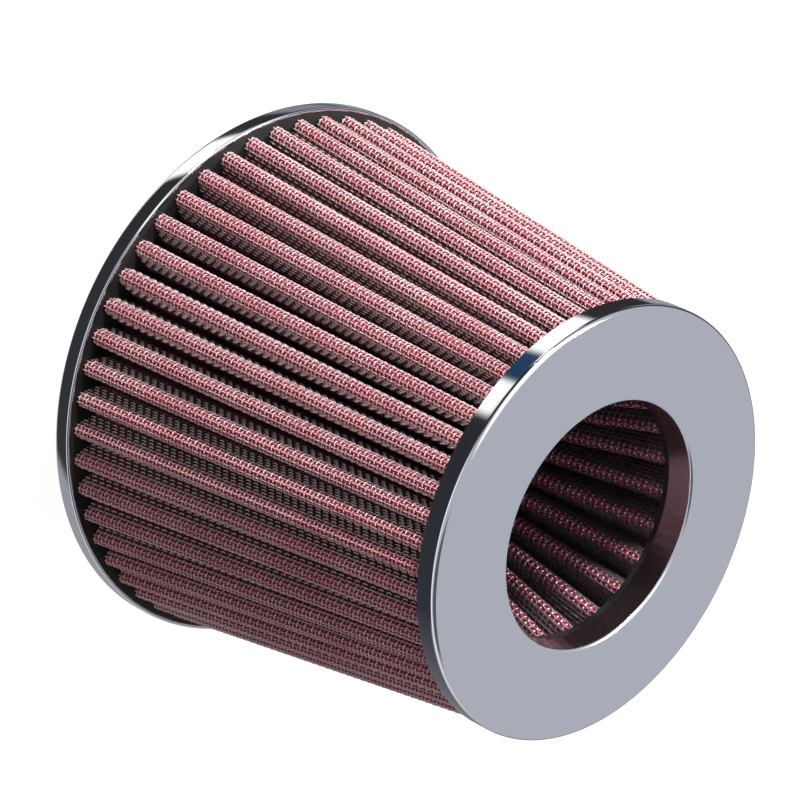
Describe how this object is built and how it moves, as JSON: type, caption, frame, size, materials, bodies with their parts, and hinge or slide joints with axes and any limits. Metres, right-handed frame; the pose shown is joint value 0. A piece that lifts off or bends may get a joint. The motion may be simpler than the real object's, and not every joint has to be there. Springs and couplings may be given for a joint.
{
  "type": "cone air filter",
  "caption": "Conical pleated intake air filter with a chrome end cap and band, an inverted inner pleated cone behind the cap's hole, and a rubber neck for the pipe.",
  "frame": {"origin": "centre of the neck's end face, which is the lowest face", "axes": "+Z along the filter's axis, from the neck to the chrome end cap; X and Y are both through a pleat tip or between two"},
  "size_m": [0.15, 0.15, 0.148],
  "materials": {
    "moulded_base": "moulded matte",
    "chrome_band": "polished",
    "chrome_cap": "polished",
    "potting": "cast",
    "wire_screen": "coated wire",
    "cotton_gauze": "oiled",
    "backing_screen": "coated wire"
  },
  "bodies": {
    "root": {"base_flange": "moulded_base", "base_ring": "chrome_band", "end_cap": "chrome_cap", "cap_potting": "potting", "outer_screen": "wire_screen", "outer_gauze": "cotton_gauze", "outer_backing": "backing_screen", "inner_screen": "wire_screen", "inner_gauze": "cotton_gauze", "inner_backing": "backing_screen", "inner_plug": "potting"}
  },
  "joints": []
}
